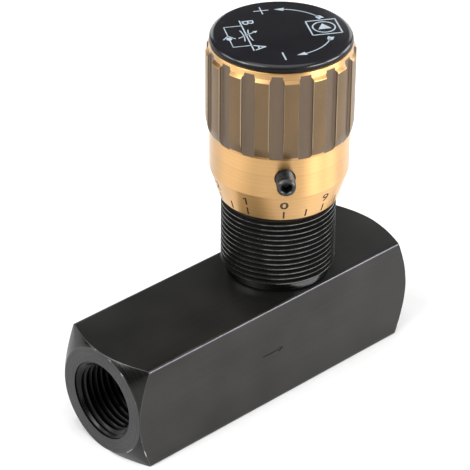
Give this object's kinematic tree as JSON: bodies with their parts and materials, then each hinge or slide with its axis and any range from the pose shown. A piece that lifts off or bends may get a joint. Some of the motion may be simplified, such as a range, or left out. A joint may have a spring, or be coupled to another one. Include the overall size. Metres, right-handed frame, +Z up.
{
  "type": "flow control valve",
  "caption": "In-line one-way flow control valve: square body with a threaded port at each end, threaded panel neck, fluted dial knob that rises as it opens, and a locking screw.",
  "frame": {"origin": "centre of the body's bottom face, midway between the two port faces", "axes": "+X along the flow bore from port A to port B, +Z up along the neck and knob"},
  "size_m": [0.0974, 0.0388, 0.0999],
  "materials": {
    "blackened_body": "black oxide over sawn and ground bar",
    "blackened_neck": "black oxide, oiled",
    "gold_aluminium": "turned and gold anodised",
    "black_cap": "gloss moulded, pale printing",
    "black_screw": "black oxide",
    "spindle_steel": "turned",
    "hardened_steel": "ground",
    "spring_steel": "drawn wire",
    "zinc_screw": "zinc plated",
    "brass_pad": "turned",
    "seal_rubber": "moulded",
    "white_ptfe": "cut ring"
  },
  "bodies": {
    "valve_body": {"valve_body": "blackened_body", "bonnet": "blackened_neck", "bonnet_oring": "seal_rubber", "throttle_seat": "hardened_steel", "seat_oring": "seal_rubber", "anti_turn_dowel": "hardened_steel", "check_seat": "hardened_steel", "check_guide": "hardened_steel", "check_spring": "spring_steel"},
    "throttle_pin": {"throttle_pin": "hardened_steel"},
    "adjusting_knob": {"adjusting_knob": "gold_aluminium", "knob_cap": "black_cap", "knob_screw": "zinc_screw", "knob_washer": "zinc_screw", "knob_drive_pin": "hardened_steel", "throttle_spindle": "spindle_steel", "spindle_oring": "seal_rubber", "spindle_backup_ring": "white_ptfe", "knob_oring": "seal_rubber"},
    "lock_pad": {"lock_pad": "brass_pad"},
    "lock_screw": {"lock_screw": "black_screw"},
    "check_poppet": {"check_poppet": "hardened_steel"}
  },
  "joints": [
    {"name": "throttle_lift", "type": "slide", "parent": "valve_body", "child": "throttle_pin", "axis": [0, 0, 1], "range_m": [0, 0.005]},
    {"name": "knob_turn", "type": "hinge", "parent": "throttle_pin", "child": "adjusting_knob", "pos_m": [0.0135, 0, 0.0534], "axis": [0, 0, 1], "range_deg": [0, 1800]},
    {"name": "lock_screw_travel", "type": "slide", "parent": "adjusting_knob", "child": "lock_pad", "axis": [0.632, 0.7749, 0], "range_m": [-0.002, 0.00045]},
    {"name": "lock_screw_turn", "type": "hinge", "parent": "lock_pad", "child": "lock_screw", "pos_m": [-0.00129, -0.01813, 0.0675], "axis": [0.632, 0.7749, 0], "range_deg": [-900, 202.5]},
    {"name": "check_opening", "type": "slide", "parent": "valve_body", "child": "check_poppet", "axis": [1, 0, 0], "range_m": [0, 0.003], "stiffness_N_per_m": 900, "springref_m": -0.002, "deforming": ["check_spring"]}
  ],
  "couplings": [
    {"joint": "knob_turn", "follows": "throttle_lift", "rad_per_m": 6283.2},
    {"joint": "lock_screw_turn", "follows": "lock_screw_travel", "rad_per_m": 7854}
  ]
}
